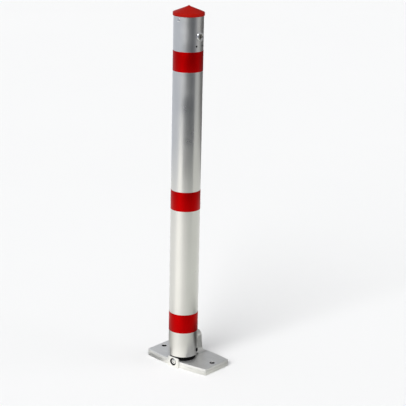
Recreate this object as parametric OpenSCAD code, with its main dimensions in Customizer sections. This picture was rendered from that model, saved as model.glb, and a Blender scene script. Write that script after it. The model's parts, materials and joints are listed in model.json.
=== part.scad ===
// Fold-down parking bollard.
// The origin is on the ground, midway between the two anchor holes of the base plate.
// +X runs along the plate, +Y points to the hinge ear at the rear and +Z is up.
// At rest the post stands upright and its lock bolt is drawn up, clear of the base plate.

/* [Post] */
// Outside diameter of the post tube
tube_d = 76; // [62:0.5:92]
// Wall thickness of the post tube
wall = 3; // [2:0.1:4.5]
// Height of the tube's lower end above the ground
tube_bottom = 30; // [28:0.5:36]
// Length of the post tube
tube_len = 907; // [740:1:1100]

/* [Bands] */
// Height of each reflective band
band_h = 51; // [40:1:62]
// Height of the lower band's bottom edge above the ground
band_lower_z = 98; // [97:1:240]
// Height of the middle band's bottom edge above the ground
band_middle_z = 432; // [350:1:520]
// Distance from the upper band's bottom edge up to the top of the tube
band_upper_drop = 144; // [120:1:175]
// Thickness of the reflective film
film_t = 0.4; // [0.2:0.05:0.8]

/* [Cap] */
// How far the cap's rim stands out from the tube
cap_overhang = 2; // [1.5:0.1:4]
// Height of the cap's rim
cap_rim_h = 8; // [7:0.5:12]
// Height of the cone above the rim
cap_cone_h = 17.5; // [12:0.5:26]
// Wall thickness of the cap
cap_wall = 2.5; // [1.8:0.1:3]
// Depth of the cap's skirt inside the tube
skirt_depth = 29; // [24:0.5:34]

/* [Base plate] */
// Length of the base plate
base_l = 206; // [196:1:260]
// Width of the base plate at its two straight ends
base_end_w = 93; // [80:1:120]
// How far each long side bows outwards at its middle
base_bow = 10; // [4:0.5:14]
// Thickness of the base plate
base_t = 18; // [15:0.1:21.6]
// Diameter of the two anchor holes
anchor_d = 14; // [8:0.5:15]
// Distance between the two anchor holes
anchor_spacing = 170; // [150:1:176]
// Distance from the line of anchor holes forward to the axis of the post
post_offset = 21; // [17:0.5:25]

/* [Hinge] */
// Height of the pivot above the ground
pivot_h = 65; // [60:0.5:78]
// Width of the hinge ear
ear_w = 28; // [25:0.5:34]
// Thickness of the hinge ear at the pivot, along the pivot axis
ear_depth = 21; // [18:0.5:26]
// How much thicker the ear is at the plate than at the pivot
ear_draft = 5.5; // [4:0.5:9]
// Radius of the fillets where the ear meets the plate
root_r = 13; // [10:0.5:20]
// Gap between the tube and the ear
ear_gap = 1.5; // [1.2:0.1:3]
// Diameter of the pivot bolt's shank
pivot_d = 12; // [10:0.5:14]
// Height of the hinge core above the tube's lower end
core_rise = 65; // [62:0.5:66]

/* [Front lug] */
// Width of the front lug
lug_w = 36; // [28:0.5:44]
// How far the lug stands out in front of the tube
lug_proud = 1.5; // [0.8:0.1:3]
// Gap between the top of the lug and the tube's lower end
lug_gap = 2; // [1.5:0.1:4]
// Height of the keeper screw above the ground
keeper_screw_h = 14; // [10.5:0.5:14]
// Diameter of the keeper screw's domed head
keeper_head_d = 15; // [12:0.5:16]

/* [Lock] */
// Distance from the lock's axis up to the top of the tube
lock_drop = 55; // [48:0.5:66]
// Outside diameter of the lock barrel
lock_d = 20; // [16.5:0.5:22]
// Height that the lock barrel stands out from the tube
lock_proud = 3.5; // [2:0.1:5]
// Throw of the crank on the lock plug
crank_r = 9; // [7.5:0.25:10]
// Diameter of the lock bolt
bolt_d = 12; // [10:0.5:14]
// Diameter of the lock rod
rod_d = 8; // [6:0.5:9]
// Distance from the post's axis forward to the lock rod
rod_offset = 16; // [15.5:0.25:18]

/* [Hidden] */
$fn = 64;

// Clearances: a running fit, a pressed or bonded fit, and free air between moving pieces
run_fit = 0.05;
press_fit = 0.02;
air = 0.3;
swing_air = 0.8;
eps = 0.01;

// Post
tube_r = tube_d / 2;
bore_r = tube_r - wall;
axis_y = -post_offset;
tube_top = tube_bottom + tube_len;
fill_r = bore_r - 0.1;
bands = [band_lower_z, band_middle_z, tube_top - band_upper_drop];

// Cap
cap_r = tube_r + cap_overhang;
seat_z = tube_top + 0.3;
rim_z = tube_top - 6;
cap_edge_z = rim_z + cap_rim_h;
tip_z = cap_edge_z + cap_cone_h;
skirt_z = seat_z - skirt_depth;
rivet_z = skirt_z + 14;
rivet_d = 4.8;
rivet_head_d = 9;
rivet_head_h = 1.6;

// Base plate
base_mid_w = base_end_w + 2 * base_bow;
bow_r = (pow(base_l / 2, 2) + pow(base_bow, 2)) / (2 * base_bow);

// Hinge
ear_y = axis_y + tube_r + ear_gap;
ear_back = ear_y + ear_depth;
ear_foot = ear_back + ear_draft;
bush_d = pivot_d + 4;
pivot_head_d = pivot_d + 6;
pivot_head_h = 6;
socket_af = 8;
flange_t = 1.2;
flange_d = bush_d + 2.4;
recess_d = pivot_head_d + 1.4;
recess_y = ear_back - pivot_head_h - flange_t - 2 * air - 0.2;
washer_t = ear_gap - air;
boss_d = pivot_d + 8;
nut_af = pivot_d + 7;
nut_h = 10;
nut_y = axis_y + 13;
shank_end = nut_y - 2;
swing_r = pivot_h - base_t - swing_air;
core_low_r = fill_r - 0.9;
core_top = tube_bottom + core_rise;
core_screw_d = 6;
core_screw_head = 11;
core_screw_head_h = 3;
core_screw_len = 14;
core_screw_rise = 6.5;
core_screw_z = tube_bottom + core_screw_head / 2 + core_screw_rise;
core_screw_angles = [25, 125];

// Front lug
lug_y = axis_y - tube_r - lug_proud;
lug_back = axis_y - core_low_r - 0.4;
lug_top = tube_bottom - lug_gap;
lug_ramp = 2.4;
rod_y = axis_y - rod_offset;
keeper_d = bolt_d + 6;
keeper_floor = 4;
drain_d = 6;
keeper_screw_d = 5;
keeper_recess_d = keeper_head_d + 5;
keeper_recess = 4;
keeper_head_h = 3.5;

// Lock, from the outside of the tube inwards
lock_z = tube_top - lock_drop;
barrel_r = lock_d / 2;
barrel_body_d = lock_d - 1;
plug_d = lock_d - 7;
cam_t = 3;
pin_d = 5;
yoke_t = 4;
cam_x = yoke_t / 2 + 2.5;
plug_x = cam_x + cam_t;
barrel_x = plug_x + 1;
nut_t = 4;
case_x = barrel_x + nut_t;
lock_nut_af = lock_d + 4;
case_w = lock_d + 14;
case_bottom = lock_z - 34;
case_top = lock_z + 17;
lock_screw_z = lock_z - 24;
lock_screw_d = 4.8;
lock_screw_len = 12;
lock_screw_angles = [-16, 16];
keyway_w = 2;

// Crank and yoke: the plug turns a quarter turn and the rod drops by rod_travel
crank_rise = crank_r * sin(45);
rod_travel = 2 * crank_rise;
pin_y = axis_y - crank_rise;
pin_z = lock_z + crank_rise;
slot_slack = 0.03 * crank_r + air;
slot_h = pin_d + 2 * slot_slack;
slot_y0 = axis_y - crank_r - pin_d / 2 - 0.5;
slot_y1 = pin_y + pin_d / 2 + 0.5;
yoke_rim = 4;
yoke_y0 = min(slot_y0 - yoke_rim, rod_y - rod_d / 2 - 1);
yoke_y1 = slot_y1 + yoke_rim;
yoke_top = pin_z + slot_h / 2 + yoke_rim;
yoke_foot = pin_z - 20;
yoke_boss_d = rod_d + 6;
yoke_boss_h = 16;

// Rod, bolt, guides and spring
bolt_tip = base_t + 2;
bolt_len = 98;
bolt_top = bolt_tip + bolt_len;
rod_bottom = bolt_top - 20;
rod_top = yoke_foot - 2;
roll_d = 3;
guide_t = 10;
guide_zs = [210, (tube_bottom + tube_top) / 2 + 30, lock_z - 64];
collar_d = rod_d + 10;
collar_h = 8;
spring_len = 46;
spring_wire = 1.6;
spring_r = rod_d / 2 + 3.2;
spring_turns = 8;
spring_steps = 16;
spring_sides = 6;
collar_z = guide_zs[0] - spring_len - collar_h;

// A cylinder along X or along Y, from one coordinate to the next
module x_rod(d, x0, x1) {
    translate([x0, 0, 0]) rotate([0, 90, 0]) cylinder(d = d, h = x1 - x0);
}
module y_rod(d, y0, y1) {
    translate([0, y0, 0]) rotate([-90, 0, 0]) cylinder(d = d, h = y1 - y0);
}
// A hexagonal prism along X or along Y, by its width across flats
module x_hex(af, x0, x1) {
    translate([x0, 0, 0]) rotate([0, 90, 0]) cylinder(d = af / cos(30), h = x1 - x0, $fn = 6);
}
module y_hex(af, y0, y1) {
    translate([0, y0, 0]) rotate([-90, 0, 0]) cylinder(d = af / cos(30), h = y1 - y0, $fn = 6);
}
// Places its children on the post's wall, with +X pointing outwards
module on_wall(angle, z) {
    translate([0, axis_y, z]) rotate([0, 0, angle]) children();
}
// A domed screw or rivet head on the plane X = x0, facing +X
module domed_head(d, h, x0) {
    dome_r = (pow(d / 2, 2) + pow(h, 2)) / (2 * h);
    translate([x0, 0, 0]) rotate([0, 90, 0]) intersection() {
        cylinder(d = d, h = h);
        translate([0, 0, h - dome_r]) sphere(r = dome_r);
    }
}

// ---- base ----
module plate_outline() {
    intersection() {
        square([base_l, base_mid_w + 2], center = true);
        translate([0, bow_r - base_mid_w / 2]) circle(r = bow_r, $fn = 720);
        translate([0, base_mid_w / 2 - bow_r]) circle(r = bow_r, $fn = 720);
    }
}
module ear_front_outline() {
    translate([0, pivot_h]) circle(d = ear_w);
    translate([-ear_w / 2, 0]) square([ear_w, pivot_h]);
    difference() {
        translate([-ear_w / 2 - root_r, 0]) square([ear_w + 2 * root_r, base_t + root_r]);
        for (side = [-1, 1])
            translate([side * (ear_w / 2 + root_r), base_t + root_r]) circle(r = root_r);
    }
}
module ear_side_outline() {
    rear_r = min(root_r, base_mid_w / 2 - ear_foot - 0.5);
    polygon([
        [ear_y, 0], [ear_foot, 0], [ear_foot, base_t],
        [ear_back, pivot_h], [ear_back, pivot_h + ear_w], [ear_y, pivot_h + ear_w]
    ]);
    difference() {
        translate([ear_y, 0]) square([ear_foot + rear_r - ear_y, base_t + rear_r]);
        translate([ear_foot + rear_r, base_t + rear_r]) circle(r = rear_r);
    }
}
module ear() {
    intersection() {
        translate([0, base_mid_w / 2, 0]) rotate([90, 0, 0])
            linear_extrude(base_mid_w / 2 - ear_y) ear_front_outline();
        translate([-base_l / 2, 0, 0]) rotate([90, 0, 90])
            linear_extrude(base_l) ear_side_outline();
    }
}
module lug() {
    difference() {
        union() {
            translate([-lug_w / 2, lug_y, 0]) cube([lug_w, lug_back - lug_y, lug_top]);
            translate([-lug_w / 2, lug_y, 0]) cube([lug_w, axis_y - 10 - lug_y, base_t]);
        }
        // Ramp that clears the tube's rim as the post folds down
        translate([0, lug_back, lug_top - lug_ramp]) rotate([atan2(-lug_ramp, lug_back - lug_y - 2), 0, 0])
            translate([-lug_w, -lug_w, 0]) cube([2 * lug_w, 2 * lug_w, lug_w]);
    }
}
module base_plate() {
    color("#a9abac") difference() {
        union() {
            linear_extrude(base_t) plate_outline();
            ear();
            lug();
        }
        for (side = [-1, 1])
            translate([side * anchor_spacing / 2, 0, -1]) cylinder(d = anchor_d, h = base_t + 2);
        translate([0, 0, pivot_h]) {
            y_rod(bush_d + 2 * press_fit, ear_y - 1, ear_back);
            y_rod(recess_d, recess_y, ear_foot + 1);
        }
        translate([0, rod_y, keeper_floor]) cylinder(d = keeper_d + 2 * press_fit, h = base_t);
        translate([0, rod_y, -1]) cylinder(d = drain_d, h = base_t);
        translate([0, 0, keeper_screw_h]) {
            y_rod(keeper_recess_d, lug_y - 1, lug_y + keeper_recess);
            y_rod(keeper_screw_d + 2 * press_fit, lug_y, rod_y);
        }
    }
}
module keeper_bush() {
    color("#8d9094") translate([0, rod_y, keeper_floor]) difference() {
        cylinder(d = keeper_d, h = base_t - keeper_floor);
        translate([0, 0, -1]) cylinder(d = bolt_d + 0.8, h = base_t + 2);
    }
}
module keeper_screw() {
    seat = lug_y + keeper_recess;
    color("#d5d7d8") translate([0, 0, keeper_screw_h]) difference() {
        union() {
            y_rod(keeper_screw_d, seat - eps, rod_y - keeper_d / 2 - press_fit);
            translate([0, seat, 0]) rotate([0, 0, -90]) domed_head(keeper_head_d, keeper_head_h, 0);
        }
        y_hex(5, seat - keeper_head_h - 1, seat - 1);
    }
}
module pivot_bush() {
    color("#b08d4f") translate([0, 0, pivot_h]) difference() {
        union() {
            y_rod(bush_d, ear_y, recess_y + flange_t);
            y_rod(flange_d, recess_y, recess_y + flange_t);
        }
        y_rod(pivot_d + 2 * run_fit, ear_y - 1, ear_back);
    }
}

// ---- post ----
module tube() {
    color("#c3c6ca") difference() {
        translate([0, axis_y, tube_bottom]) cylinder(r = tube_r, h = tube_len);
        translate([0, axis_y, tube_bottom - 1]) cylinder(r = bore_r, h = tube_len + 2);
        // The rim on the folding side is rounded about the pivot, to clear the base plate
        difference() {
            translate([-tube_d, axis_y - tube_d, 0]) cube([tube_d, 2 * tube_d, pivot_h]);
            translate([0, 0, pivot_h]) y_rod(2 * swing_r, axis_y - 2 * tube_d, axis_y + 2 * tube_d);
        }
        translate([0, 0, pivot_h]) y_rod(boss_d + 2 * press_fit, axis_y, ear_y);
        for (a = core_screw_angles)
            on_wall(a, core_screw_z) x_rod(core_screw_d + 0.4, bore_r / 2, tube_r + 1);
        on_wall(0, lock_z) x_rod(barrel_body_d + 0.4, bore_r / 2, tube_r + 1);
        for (a = lock_screw_angles)
            on_wall(a, lock_screw_z) x_rod(lock_screw_d + 0.2, bore_r / 2, tube_r + 1);
        on_wall(-90, rivet_z) x_rod(rivet_d + 0.1, bore_r / 2, tube_r + 1);
    }
}
module hinge_core() {
    color("#17181a") difference() {
        union() {
            translate([0, axis_y, tube_bottom]) cylinder(r = fill_r, h = core_rise);
            translate([0, axis_y, base_t + air]) cylinder(r = core_low_r, h = core_rise);
            translate([0, 0, pivot_h]) y_rod(boss_d, axis_y, ear_y - ear_gap);
        }
        // The foot is rounded about the pivot on the folding side, and flat as a stop on the other
        difference() {
            translate([-tube_d, axis_y - tube_d, 0]) cube([tube_d, 2 * tube_d, pivot_h]);
            translate([0, 0, pivot_h]) y_rod(2 * swing_r, axis_y - 2 * tube_d, axis_y + 2 * tube_d);
        }
        translate([0, rod_y, 0]) cylinder(d = bolt_d + 2 * run_fit, h = core_top + 1);
        translate([0, 0, pivot_h]) y_rod(pivot_d + 2 * press_fit, shank_end - 1, ear_y);
        // Slot that drops the captive nut into place from the top of the core
        translate([-nut_af / 2 - air, nut_y - air / 2, pivot_h - nut_af / 2 / cos(30) - air])
            cube([nut_af + 2 * air, nut_h + air, core_top]);
        for (a = core_screw_angles)
            on_wall(a, core_screw_z) x_rod(core_screw_d + 2 * press_fit, tube_r - core_screw_len, tube_r);
    }
}
module core_screws() {
    color("#1c1d1f") for (a = core_screw_angles) on_wall(a, core_screw_z) difference() {
        union() {
            x_rod(core_screw_d, tube_r - core_screw_len, tube_r + eps);
            domed_head(core_screw_head, core_screw_head_h, tube_r);
        }
        x_hex(4, tube_r, tube_r + core_screw_head_h + 1);
    }
}
module pivot_bolt() {
    head_y = recess_y + flange_t + air;
    color("#9da0a3") translate([0, 0, pivot_h]) difference() {
        union() {
            y_rod(pivot_d, shank_end, head_y + eps);
            y_rod(pivot_head_d, head_y, head_y + pivot_head_h);
        }
        y_hex(socket_af, head_y + 2, head_y + pivot_head_h + 1);
    }
}
module pivot_nut() {
    color("#9da0a3") translate([0, 0, pivot_h]) difference() {
        rotate([0, 30, 0]) y_hex(nut_af, nut_y, nut_y + nut_h);
        y_rod(pivot_d + 2 * press_fit, nut_y - 1, nut_y + nut_h + 1);
    }
}
module pivot_washer() {
    color("#e6e4da") translate([0, 0, pivot_h]) difference() {
        y_rod(boss_d + 4, ear_y - ear_gap, ear_y - ear_gap + washer_t);
        y_rod(pivot_d + 2 * press_fit, ear_y - ear_gap - 1, ear_y);
    }
}
module band(i) {
    color("#b3161a") translate([0, axis_y, bands[i]]) difference() {
        cylinder(r = tube_r + film_t, h = band_h);
        translate([0, 0, -1]) cylinder(r = tube_r, h = band_h + 2);
    }
}
module band_lower() { band(0); }
module band_middle() { band(1); }
module band_upper() { band(2); }
module cap() {
    skirt_r = bore_r - 0.15;
    inner_r = skirt_r - cap_wall;
    slope = cap_cone_h / cap_r;
    color("#c22418") translate([0, axis_y, 0]) difference() {
        rotate_extrude($fn = 128) polygon([
            [0, tip_z - cap_wall - 2], [inner_r, tip_z - cap_wall - 2 - slope * inner_r], [inner_r, skirt_z],
            [skirt_r, skirt_z], [skirt_r, seat_z], [tube_r + 0.15, seat_z], [tube_r + 0.15, rim_z],
            [cap_r, rim_z], [cap_r, cap_edge_z], [1.5, tip_z - 1.5 * slope], [0, tip_z - 1]
        ]);
        rotate([0, 0, -90]) translate([0, 0, rivet_z]) x_rod(rivet_d + 0.1, bore_r / 2, tube_r);
    }
}
module cap_rivet() {
    color("#b9bcc0") on_wall(-90, rivet_z) {
        x_rod(rivet_d, bore_r - cap_wall - 2.5, tube_r + eps);
        domed_head(rivet_head_d, rivet_head_h, tube_r);
    }
}

// ---- lock housing and guides, fixed in the post ----
module lock_case() {
    color("#2a2b2d") difference() {
        intersection() {
            translate([0, axis_y, case_bottom]) cylinder(r = fill_r, h = case_top - case_bottom);
            translate([case_x, axis_y - case_w / 2, case_bottom])
                cube([tube_r, case_w, case_top - case_bottom]);
        }
        on_wall(0, lock_z) x_rod(barrel_body_d + 2 * press_fit, 0, tube_r + 1);
        for (a = lock_screw_angles)
            on_wall(a, lock_screw_z)
                x_rod(lock_screw_d + 2 * press_fit, tube_r - 1 - lock_screw_len, tube_r);
    }
}
module lock_screws() {
    color("#141516") for (a = lock_screw_angles) on_wall(a, lock_screw_z) difference() {
        x_rod(lock_screw_d, tube_r - 1 - lock_screw_len, tube_r - 1);
        x_hex(2.5, tube_r - 4, tube_r);
    }
}
module lock_barrel() {
    color("#c9cbce") on_wall(0, lock_z) difference() {
        union() {
            x_rod(barrel_body_d, barrel_x, tube_r + eps);
            x_rod(lock_d + 2, tube_r, tube_r + lock_proud);
        }
        x_rod(plug_d + 2 * run_fit, 0, tube_r + lock_proud + 1);
    }
}
module lock_nut() {
    color("#9da0a3") on_wall(0, lock_z) difference() {
        x_hex(lock_nut_af, barrel_x, case_x);
        x_rod(barrel_body_d + 2 * press_fit, 0, tube_r);
    }
}
module guide(i) {
    color("#3a3c3f") translate([0, axis_y, guide_zs[i]]) difference() {
        cylinder(r = fill_r, h = guide_t);
        translate([0, -rod_offset, -1]) cylinder(d = rod_d + 2 * run_fit, h = guide_t + 2);
        for (a = [10, 90, 170])
            rotate([0, 0, a]) translate([bore_r * 0.52, 0, -1]) cylinder(r = bore_r * 0.28, h = guide_t + 2);
    }
}
module guide_lower() { guide(0); }
module guide_middle() { guide(1); }
module guide_upper() { guide(2); }

// Points of the spring's wire: spring_sides around each of the stations along the helix
function coil_point(i, j) =
    let (turn = i / spring_steps * 360,
         side = j / spring_sides * 360,
         rr = spring_r + spring_wire / 2 * cos(side),
         pitch = (spring_len - spring_wire - 2 * air) / spring_turns)
    [rr * cos(turn), rr * sin(turn), i / spring_steps * pitch + spring_wire / 2 * sin(side)];
module return_spring() {
    stations = spring_turns * spring_steps;
    points = [for (i = [0:stations]) for (j = [0:spring_sides - 1]) coil_point(i, j)];
    walls = [for (i = [0:stations - 1]) for (j = [0:spring_sides - 1])
        let (a = i * spring_sides + j, b = i * spring_sides + (j + 1) % spring_sides)
        [a, b, b + spring_sides, a + spring_sides]];
    start = [for (j = [spring_sides - 1:-1:0]) j];
    end = [for (j = [0:spring_sides - 1]) stations * spring_sides + j];
    color("#8d9094") translate([0, rod_y, collar_z + collar_h + spring_wire / 2 + air])
        polyhedron(points, concat(walls, [start, end]), convexity = 10);
}

// ---- lock plug, which the key turns ----
module lock_plug() {
    color("#b4b4af") on_wall(0, lock_z) difference() {
        union() {
            x_rod(plug_d, plug_x, tube_r + lock_proud - 0.6);
            intersection() {
                x_rod(plug_d - 3, cam_x, plug_x + eps);
                translate([cam_x, -plug_d * 0.28, -plug_d]) cube([cam_t + 1, plug_d * 0.56, 2 * plug_d]);
            }
        }
        // Keyway
        translate([tube_r + lock_proud - 12, -keyway_w / 2, -plug_d * 0.3])
            cube([20, keyway_w, plug_d * 0.6]);
        x_rod(3, cam_x - 1, plug_x + 6);
    }
}
module cam_outline() {
    difference() {
        union() {
            circle(d = plug_d + 4);
            rotate(135) translate([0, -pin_d]) square([crank_r, 2 * pin_d]);
            rotate(135) translate([crank_r, 0]) circle(r = pin_d);
        }
        intersection() {
            circle(d = plug_d - 3 + 2 * press_fit);
            square([plug_d * 0.56 + 2 * press_fit, 2 * plug_d], center = true);
        }
        rotate(135) translate([crank_r, 0]) circle(d = pin_d + 2 * press_fit);
    }
}
module lock_cam() {
    color("#9da0a3") on_wall(0, lock_z) translate([cam_x, 0, 0])
        rotate([90, 0, 90]) linear_extrude(cam_t) cam_outline();
}
module crank_pin() {
    color("#b9bcc0") translate([0, pin_y, pin_z]) x_rod(pin_d, -yoke_t / 2 - 1, plug_x);
}
module cam_screw() {
    color("#9da0a3") on_wall(0, lock_z) {
        x_rod(3 - 2 * press_fit, cam_x - eps, plug_x + 5);
        x_rod(8, cam_x - 2, cam_x);
    }
}

// ---- rod, which the crank lifts ----
module lock_rod() {
    color("#b3b6ba") difference() {
        translate([0, rod_y, rod_bottom]) cylinder(d = rod_d, h = rod_top - rod_bottom);
        translate([0, rod_y, 0]) for (z = roll_zs()) translate([0, 0, z]) x_rod(roll_d, -rod_d, rod_d);
    }
}
module rod_yoke() {
    color("#9da0a3") difference() {
        union() {
            translate([-yoke_t / 2, yoke_y0, yoke_foot - 1])
                cube([yoke_t, yoke_y1 - yoke_y0, yoke_top - yoke_foot + 1]);
            translate([0, rod_y, yoke_foot - yoke_boss_h]) cylinder(d = yoke_boss_d, h = yoke_boss_h);
        }
        translate([-yoke_t, slot_y0, pin_z - slot_h / 2]) cube([2 * yoke_t, slot_y1 - slot_y0, slot_h]);
        translate([0, rod_y, yoke_foot - yoke_boss_h - 1]) cylinder(d = rod_d + 2 * press_fit, h = yoke_boss_h - 1);
        translate([0, rod_y, roll_zs()[2]]) x_rod(roll_d, -yoke_boss_d, yoke_boss_d);
    }
}
module lock_bolt() {
    color("#8d9094") translate([0, rod_y, 0]) difference() {
        union() {
            translate([0, 0, bolt_tip + 2]) cylinder(d = bolt_d, h = bolt_len - 2);
            translate([0, 0, bolt_tip]) cylinder(d1 = bolt_d - 3, d2 = bolt_d, h = 2);
        }
        translate([0, 0, rod_bottom]) cylinder(d = rod_d + 2 * press_fit, h = bolt_len);
        translate([0, 0, roll_zs()[0]]) x_rod(roll_d, -bolt_d, bolt_d);
    }
}
module spring_collar() {
    color("#9da0a3") translate([0, rod_y, 0]) difference() {
        translate([0, 0, collar_z]) cylinder(d = collar_d, h = collar_h);
        translate([0, 0, collar_z - 1]) cylinder(d = rod_d + 2 * press_fit, h = collar_h + 2);
        translate([0, 0, roll_zs()[1]]) x_rod(roll_d, -collar_d, collar_d);
    }
}
// Heights of the roll pins through the bolt, the collar and the yoke
function roll_zs() = [rod_bottom + 12, collar_z + collar_h / 2, yoke_foot - yoke_boss_h / 2];
module roll_pins() {
    lengths = [bolt_d - 1, collar_d - 1, yoke_boss_d - 1];
    color("#6f7276") translate([0, rod_y, 0])
        for (i = [0:2]) translate([0, 0, roll_zs()[i]])
            x_rod(roll_d - 2 * press_fit, -lengths[i] / 2, lengths[i] / 2);
}

base_plate();
keeper_bush();
keeper_screw();
pivot_bush();
tube();
hinge_core();
core_screws();
pivot_bolt();
pivot_nut();
pivot_washer();
band_lower();
band_middle();
band_upper();
cap();
cap_rivet();
lock_case();
lock_screws();
lock_barrel();
lock_nut();
guide_lower();
guide_middle();
guide_upper();
return_spring();
lock_plug();
lock_cam();
crank_pin();
cam_screw();
lock_rod();
rod_yoke();
lock_bolt();
spring_collar();
roll_pins();
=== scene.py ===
"""Fold-down parking bollard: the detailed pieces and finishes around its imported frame."""
import json
import math

import bmesh
import bpy
from bpy.props import FloatProperty, FloatVectorProperty, PointerProperty
from mathutils import Matrix, Vector

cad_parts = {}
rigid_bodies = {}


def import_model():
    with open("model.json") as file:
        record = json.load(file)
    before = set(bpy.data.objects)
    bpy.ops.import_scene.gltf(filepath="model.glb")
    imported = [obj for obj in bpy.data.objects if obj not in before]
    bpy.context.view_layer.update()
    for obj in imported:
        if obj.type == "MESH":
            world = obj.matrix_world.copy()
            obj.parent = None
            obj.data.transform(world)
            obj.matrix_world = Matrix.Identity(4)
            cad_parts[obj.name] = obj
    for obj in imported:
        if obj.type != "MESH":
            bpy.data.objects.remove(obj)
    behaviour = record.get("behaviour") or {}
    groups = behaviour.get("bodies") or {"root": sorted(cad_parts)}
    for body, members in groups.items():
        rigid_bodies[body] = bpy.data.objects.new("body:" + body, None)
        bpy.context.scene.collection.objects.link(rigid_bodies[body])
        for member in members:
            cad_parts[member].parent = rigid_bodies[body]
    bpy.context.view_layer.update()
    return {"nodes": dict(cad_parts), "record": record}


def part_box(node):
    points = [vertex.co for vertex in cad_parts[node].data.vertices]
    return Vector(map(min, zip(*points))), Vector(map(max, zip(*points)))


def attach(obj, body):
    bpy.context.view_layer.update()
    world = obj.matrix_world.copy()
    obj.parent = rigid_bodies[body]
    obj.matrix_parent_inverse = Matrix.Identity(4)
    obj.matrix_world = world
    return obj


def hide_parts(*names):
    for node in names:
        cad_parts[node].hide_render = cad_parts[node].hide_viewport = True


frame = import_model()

bl_info = {
    "name": "Fold-down Bollard",
    "version": (1, 0, 0),
    "blender": (4, 5, 0),
    "location": "3D Viewport > Sidebar > Bollard",
    "description": "Builds the detailed pieces, finishes and studio of a fold-down parking bollard",
    "category": "Object",
}

MM = 0.001
# The camera's side of the post, in degrees round from +X
CAMERA_ANGLE = -48.97
# Edges flatter than this are shaded smooth
SMOOTH = math.radians(35)


# ---- measures taken from the frame ----

def centre(node):
    """The middle of a CAD node's box."""
    return (low(node) + high(node)) / 2


def extent(node):
    """The size of a CAD node's box."""
    return high(node) - low(node)


def low(node):
    """The lowest corner of a CAD node's box."""
    return Vector(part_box(node)[0])


def high(node):
    """The highest corner of a CAD node's box."""
    return Vector(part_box(node)[1])


def wall_angles(node):
    """The angles round the post of a node that holds two pieces, smallest first."""
    axis = centre("tube").y
    found = sorted(math.atan2(v.co.y - axis, v.co.x) for v in frame["nodes"][node].data.vertices)
    gaps = [b - a for a, b in zip(found, found[1:])]
    cut = gaps.index(max(gaps)) + 1
    return [(part[0] + part[-1]) / 2 for part in (found[:cut], found[cut:])]


AXIS_Y = centre("tube").y
TUBE_R = extent("tube").x / 2
TUBE_BOTTOM = low("tube").z
TUBE_TOP = high("tube").z
PLATE_T = high("keeper_bush").z
PIVOT_Z = centre("pivot_bolt").z
EAR_Y = low("pivot_bush").y
LUG_Y = low("base_plate").y
ROD_Y = centre("lock_rod").y

# The boss of the hinge core, which passes through the tube's wall to the washer
BOSS_D = extent("pivot_washer").x - 4 * MM
# The recess round the keeper screw's head: its depth, and how much wider it is than the head
KEEPER_RECESS = 4 * MM
KEEPER_ROOM = 5 * MM
# How much wider the ear's recess is than the pivot bolt's head
PIVOT_ROOM = 1.4 * MM


def linear(code):
    """The linear colour of an sRGB hex code."""
    parts = [int(code[i:i + 2], 16) / 255 for i in (1, 3, 5)]
    return [p / 12.92 if p <= 0.04045 else ((p + 0.055) / 1.055) ** 2.4 for p in parts]


# ---- sizes and colours that a user would change ----

def size(name, default, description):
    return FloatProperty(
        name=name, description=description, default=default, min=0.0, unit="LENGTH", precision=5)


def colour(name, code, description):
    return FloatVectorProperty(
        name=name, description=description, default=linear(code), min=0.0, max=1.0, subtype="COLOR")


class BollardSizes(bpy.types.PropertyGroup):
    wall: size("Tube wall", 3 * MM, "Wall thickness of the post tube")
    tube_edge: size("Tube edge", 0.5 * MM, "Rounding of the tube's cut ends")
    film: size("Film thickness", 0.4 * MM, "Thickness of the reflective film")
    film_lap: size("Film overlap", 12 * MM, "Overlap of the reflective film at its seam")
    cast_edge: size("Casting edge", 1.6 * MM, "Rounding of the casting's outer edges")
    cast_draft: size("Casting draft", 0.8 * MM, "How far the casting's sides lean in from the parting line")
    end_width: size("Plate end width", 93 * MM, "Width of the base plate at its straight ends")
    anchor_d: size("Anchor hole", 14 * MM, "Diameter of the anchor holes")
    anchor_spacing: size("Anchor spacing", 170 * MM, "Distance between the anchor holes")
    ear_depth: size("Ear thickness", 21 * MM, "Thickness of the hinge ear at the pivot")
    ear_draft: size("Ear draft", 5.5 * MM, "How much thicker the ear is at the plate")
    root_fillet: size("Ear fillet", 13 * MM, "Radius where the ear meets the plate")
    lug_width: size("Lug width", 36 * MM, "Width of the front lug")
    lug_top: size("Lug height", 28 * MM, "Height of the front lug")


class BollardColours(bpy.types.PropertyGroup):
    casting: colour("Casting", "#E8E8E6", "Shot-blasted cast aluminium")
    tube: colour("Tube", "#DDDDDC", "Satin anodised aluminium")
    film: colour("Film", "#B40002", "Red reflective film")
    cap: colour("Cap", "#960E04", "Moulded red cap")
    nylon: colour("Black nylon", "#040405", "Moulded hinge core")
    floor: colour("Floor", "#EDEDED", "Studio floor")


def sizes():
    return bpy.context.scene.bollard_sizes


def colours():
    return bpy.context.scene.bollard_colours


# ---- modelling by hand, in edit mode ----

def activate(piece):
    """Selects one object and makes it active, with everything else deselected."""
    if bpy.context.object and bpy.context.object.mode != "OBJECT":
        bpy.ops.object.mode_set(mode="OBJECT")
    bpy.ops.object.select_all(action="DESELECT")
    piece.select_set(True)
    bpy.context.view_layer.objects.active = piece


def edit(piece, kind="VERT"):
    """Opens a piece in edit mode with nothing selected."""
    activate(piece)
    bpy.ops.object.mode_set(mode="EDIT")
    bpy.ops.mesh.select_mode(type=kind)
    bpy.ops.mesh.select_all(action="DESELECT")


def done():
    """Leaves edit mode."""
    bpy.ops.object.mode_set(mode="OBJECT")


def pick(piece, test, kind="verts"):
    """Selects the vertices, edges or faces for which the test is true."""
    mesh = bmesh.from_edit_mesh(piece.data)
    for element in getattr(mesh, kind):
        element.select_set(bool(test(element)))
    mesh.select_flush_mode()
    bmesh.update_edit_mesh(piece.data)


def settle(piece):
    """Puts a piece's place, turn and scale into its mesh."""
    activate(piece)
    bpy.ops.object.transform_apply(location=True, rotation=True, scale=True)
    return piece


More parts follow.
